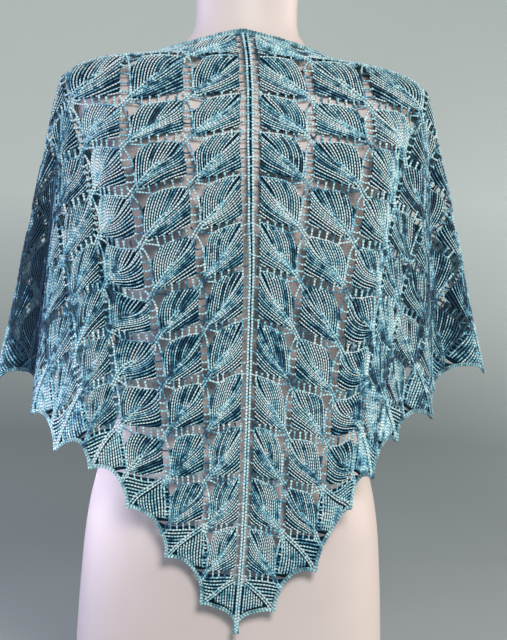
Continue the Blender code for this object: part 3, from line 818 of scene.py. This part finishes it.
def hemLine(inset):
    # the scalloped hem from the tip of the spine to the end of the wing, moved in by inset
    power = 2 / edging["squareness"]
    turn = np.radians(np.linspace(0, 90, edging["perArc"], endpoint=False))
    c, s = np.cos(turn) ** power, np.sin(turn) ** power
    last, out, low = drape["lastRow"], 1 + drape["pointAcross"], drape["pointDown"]
    parts = [np.stack([out - out * c, last - (last - (low - 1)) * s], 1)]
    for point in range(1, drape["rows"] + 1):
        parts.append(np.stack([point + out - c, low - point - s], 1))
    t = np.linspace(0, 1, edging["frontPoints"])[:, None]
    start, end = np.array(edging["frontEdge"])
    parts.append(start * (1 - t) + end * t)
    line = np.concatenate(parts)
    # the inset line keeps its distance inside the hem and rounds off at the points
    step = np.gradient(line, axis=0)
    step /= np.linalg.norm(step, axis=1, keepdims=True)
    inward = np.stack([step[:, 1], -step[:, 0]], 1)
    kernel = np.hanning(edging["rounding"])
    kernel /= kernel.sum()
    padded = np.pad(inward, ((edging["rounding"] // 2,) * 2, (0, 0)), "edge")
    smooth = np.stack([np.convolve(padded[:, i], kernel, "valid") for i in range(2)], 1)
    smooth /= np.maximum(np.linalg.norm(smooth, axis=1, keepdims=True), edging["insetLeast"])
    return line + smooth * inset


def scallopRise(away):
    # how high a scallop's arc stands, as a share, this far from its middle
    power = edging["squareness"]
    return (1 - min(max(away, 0.0), 1.0) ** power) ** (1 / power)


def pointFan(step):
    # the ribs and the double stem that end in one point of the hem
    first, last = step == 0, step == drape["rows"]
    start = edging["firstStemFrom" if first else "stemFrom"]
    end = edging["lastStemTo" if last else "stemTo"]
    corner = np.array([step, drape["rows"] - step])
    out, drop = 1 + drape["pointAcross"], edging["pointDrop"]
    slope = (end[1] - start[1]) / (end[0] - start[0])
    t = np.linspace(0, 1, edging["stemPoints"])[:, None]
    bow = edging["stemBow"] * np.array([1, -1]) * np.sin(math.pi * t)
    stem = np.array(start) * (1 - t) + np.array(end) * t + bow
    aside = aslant * leaf["chainApart"]
    ends = []
    # level with the leaf above the stem
    for v in np.arange(*edging["levelRibs"], edging["ribGap"]):
        uStart = start[0] + (v - start[1]) / slope + edging["stemGap"]
        uEnd = out + 1 - scallopRise(drop - v) - edging["hemGap"]
        if last:
            uEnd = min(uEnd, out + (drop - v) * edging["frontSlope"])
        ends.append(((uStart, v), (uEnd, v), (0, 1)))
    # upright under the stem
    for u in np.arange(*edging["firstUprightRibs" if first else "uprightRibs"], edging["ribGap"]):
        vStart = start[1] + (u - start[0]) * slope + edging["stemGap"]
        vEnd = 1 + drop - scallopRise(out - u) - edging["hemGap"]
        if first:
            tip, rise, gap = edging["tipArc"]
            vEnd = min(vEnd, tip - rise * scallopRise(1 - u / out) - gap)
        elif u < edging["notch"][0]:
            vEnd = min(vEnd, edging["notch"][1])
        ends.append(((u, vStart), (u, vEnd), (1, 0)))
    ribs = []
    for begin, end, over in np.array(ends):
        if (end - begin).sum() > edging["ribLeast"]:
            middle = (begin + end) / 2 + over * edging["ribBow"]
            ribs.append(bend(begin, middle, end, edging["ribPoints"]) + corner)
    return ribs, [stem - aside + corner, stem + aside + corner]


def edgingWeb(step, line):
    # one grid of the sunk web, from the last leaves out to the hem band
    first, last = step == 0, step == drape["rows"]
    per = edging["perArc"]
    begin = 0 if first else step * per + per // 2
    finish = len(line) if last else (step + 1) * per + per // 2 + 1
    far = line[begin:finish]
    corners = edging["firstWebCorners" if first else "lastWebCorners" if last else "webCorners"]
    corners = np.array(corners) + (step, drape["rows"] - step)
    t = np.linspace(0, 1, len(far))
    near = np.stack([np.interp(t, edging["webShares"], corners[:, i]) for i in range(2)], 1)
    blend = np.linspace(0, 1, edging["webSize"])[None, :, None]
    return (near[:, None] * (1 - blend) + far[:, None] * blend)[None]


def onSide(lines, sign, top):
    return sign * lines[..., 0], np.maximum(lines[..., 1], top)


def addHemBand(knitting, sign):
    # the bound-off rows along the hem, which curl up into a small roll at each point
    top, per, reach = edging["bandTop"], edging["perArc"], edging["curlReach"]
    for inset in edging["bandRows"]:
        line = hemLine(inset)
        gaps = np.append(0, np.cumsum(np.linalg.norm(np.diff(line, axis=0), axis=1)))
        count = int(gaps[-1] * drape["repeat"] / edging["bandPitch"] * 2)
        at = np.linspace(0, gaps[-1], count)
        row = np.stack([np.interp(at, gaps, line[:, i]) for i in range(2)], 1)[None]
        addStrands(knitting, *onSide(row, sign, top), edging["bandHeight"],
                   beads(count, edging["bandRadius"], edging["bandSwell"]),
                   slot=bandSlot, tone=edging["bandTone"])
    line = hemLine(edging["curlInset"])
    curls = np.array([line[p * per - reach:p * per + reach + 1] for p in range(1, drape["rows"] + 1)])
    hump = np.sin(np.linspace(*edging["curlShare"], 2 * reach + 1) * math.pi)
    addStrands(knitting, *onSide(curls, sign, top), edging["curlHeight"] * hump,
               edging["curlRadius"] * hump, sides=6, slot=bandSlot, tone=edging["curlTone"])


def addEdgingOpenwork(knitting, sign):
    # posts under the last leaves and rungs beside them
    rows, points = drape["rows"], edging["openPoints"]
    posts, rungs = postsAndRungs(edging, points)
    for shapes, first, radius in ((posts, 0, openwork["postRadius"]), (rungs, 1, openwork["rungRadius"])):
        across, down = spreadOver(shapes, [(s, rows - s) for s in range(first, rows)], sign)
        addStrands(knitting, across, down, openwork["postHeight"],
                   beads(points, radius, edging["openSwell"], 1.0), tone=edging["openTone"])


def makeEdging(side):
    sign = sideSign[side]
    steps, top = range(drape["rows"] + 1), edging["fanTop"]
    knitting = newKnitting(seed=7 + sign)
    addHemBand(knitting, sign)
    fans = [pointFan(step) for step in steps]
    ribs = np.array([rib for fan in fans for rib in fan[0]])
    stems = np.array([stem for fan in fans for stem in fan[1]])
    addStrands(knitting, *onSide(ribs, sign, top), edging["ribHeight"],
               beads(edging["ribPoints"], edging["ribRadius"]), tone=edging["ribTone"])
    addStrands(knitting, *onSide(stems, sign, top), leaf["chainHeight"],
               beads(edging["stemPoints"], leaf["chainRadius"]), tone=edging["stemTone"])
    line = hemLine(edging["webInset"])
    for step in steps:
        addWebs(knitting, *onSide(edgingWeb(step, line), sign, top), *leaf["webHeights"], sign=sign)
    addEdgingOpenwork(knitting, sign)
    return makePiece(knitting, side + "Edging")


centreSpine = makeSpine()
topBorder = makeBorder()
edgings = {side: makeEdging(side) for side in ("left", "right")}

for side in ("left", "right"):
    back, backRibs, flatBack, areaBack = laceParts[side + "LaceBack"]
    wing, wingRibs, flatWing, areaWing = laceParts[side + "LaceWing"]
    for piece in (back, backRibs, wing, wingRibs):
        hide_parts("lace_" + side)
    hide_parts("edging_" + side)
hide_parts("centre_spine")
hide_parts("top_border")
print("shawlette made")


studio = {  # metres and degrees
    "distance": 2.2, "lens": 110, "aim": (0.0176, 0.0, 0.4216), "azimuth": 6.3, "roll": 1.6,
    "floorSize": 7, "wallHeight": 4, "sweepRound": 2.2, "sweepSteps": 24,
    # floor and wallLow are coloured darker than wall: painted shade towards the foot of the board
    "floor": "#9AA3A6", "wallLow": "#868F91", "wall": "#DDE7E3", "mottle": 0.12, "wallFade": 0.8,
    "world": "#C4CCCB", "worldStrength": 0.5,
    "lights": (  # name, place, aim, size, watts, colour, spread
        ("softFront", (0.3, -3.0, 1.7), (0, 0, 0.4), 0.9, 82, "#FFF9F2", 180),
        ("windowLeft", (-2.3, 0.5, 0.75), (0, 0, 0.3), 0.9, 41, "#DDDAFF", 180),
        ("underLeft", (-1.6, -0.1, 0.12), (-0.12, 0, 0.31), 0.2, 0.14, "#F4F0FF", 12),
        ("windowRight", (2.3, 0.4, 0.8), (0, 0, 0.3), 0.9, 36, "#FFEEDC", 180),
        ("backdropGlow", (0.7, 1.2, 1.0), (2.1, 3.0, 0.2), 0.6, 2.5, "#FFFFFF", 80)),
}


def makeStage():
    bpy.ops.mesh.primitive_plane_add(size=studio["floorSize"], location=(0, 0, 0))
    floor = bpy.context.object
    floor.name = "studioFloor"
    selectEdges(floor, lambda a, b: a.y > 0 and b.y > 0)
    bpy.ops.mesh.extrude_region_move(TRANSFORM_OT_translate={"value": (0, 0, studio["wallHeight"])})
    bpy.ops.object.mode_set(mode="OBJECT")
    sweep = floor.modifiers.new("sweep", "BEVEL")
    sweep.width, sweep.segments = studio["sweepRound"], studio["sweepSteps"]
    bpy.ops.object.modifier_apply(modifier="sweep")
    bpy.ops.object.shade_smooth()
    # matt painted board, pale grey-green with no gloss, darkened from the wall down to the floor: painted
    # shade for light falling off towards the floor
    material, tree, shader, place = newMaterial("mattPaintedBoard")
    cloud = addNoise(tree, place, 1.2, 1.0)
    parts = addNode(tree, "ShaderNodeSeparateXYZ", inputs={"Vector": (place, "Object")})
    height = addNode(tree, "ShaderNodeMapRange", inputs={
        "Value": (parts, "Z"), "From Max": studio["wallFade"]})
    mottled = multiplyAdd(tree, (cloud, "Fac"), studio["mottle"], (height, "Result"))
    ramp = addNode(tree, "ShaderNodeValToRGB", inputs={"Fac": (mottled, 0)})
    setRamp(ramp, ((0.0, studio["floor"]), (0.25, studio["wallLow"]), (1.0, studio["wall"])))
    setInputs(tree, shader, {"Base Color": (ramp, "Color"), "Roughness": 0.9})
    floor.data.materials.append(material)


def addLight(name, place, aim, size, power, colour, spread):
    bpy.ops.object.light_add(type="AREA", location=place)
    lamp = bpy.context.object
    lamp.name = name
    lamp.rotation_euler = (Vector(aim) - Vector(place)).to_track_quat("-Z", "Y").to_euler()
    lamp.data.size, lamp.data.energy, lamp.data.color = size, power, toLinear(colour)[:3]
    lamp.data.spread = math.radians(spread)
    lamp.visible_camera = False


def makeCamera():
    azimuth, roll = math.radians(studio["azimuth"]), math.radians(studio["roll"])
    aim = Vector(studio["aim"])
    look = Vector((math.sin(azimuth), math.cos(azimuth), 0))
    bpy.ops.object.camera_add(location=aim - look * studio["distance"])
    camera = bpy.context.object
    camera.name = "studioCamera"
    facing = look.to_track_quat("-Z", "Y").to_matrix().to_4x4()
    camera.matrix_world = (Matrix.Translation(aim - look * studio["distance"]) @ facing
                           @ Matrix.Rotation(roll, 4, "Z"))
    camera.data.lens, camera.data.sensor_fit, camera.data.sensor_height = studio["lens"], "VERTICAL", 36
    bpy.context.scene.camera = camera


def makeWorld():
    world = bpy.data.worlds.new("paleRoom")
    world.use_nodes = True
    setInputs(world.node_tree, world.node_tree.nodes["Background"], {
        "Color": toLinear(studio["world"]), "Strength": studio["worldStrength"]})
    bpy.context.scene.world = world


makeStage()
for light in studio["lights"]:
    addLight(*light)
makeWorld()
makeCamera()
bpy.context.scene.view_settings.view_transform = "Standard"
print("studio made")
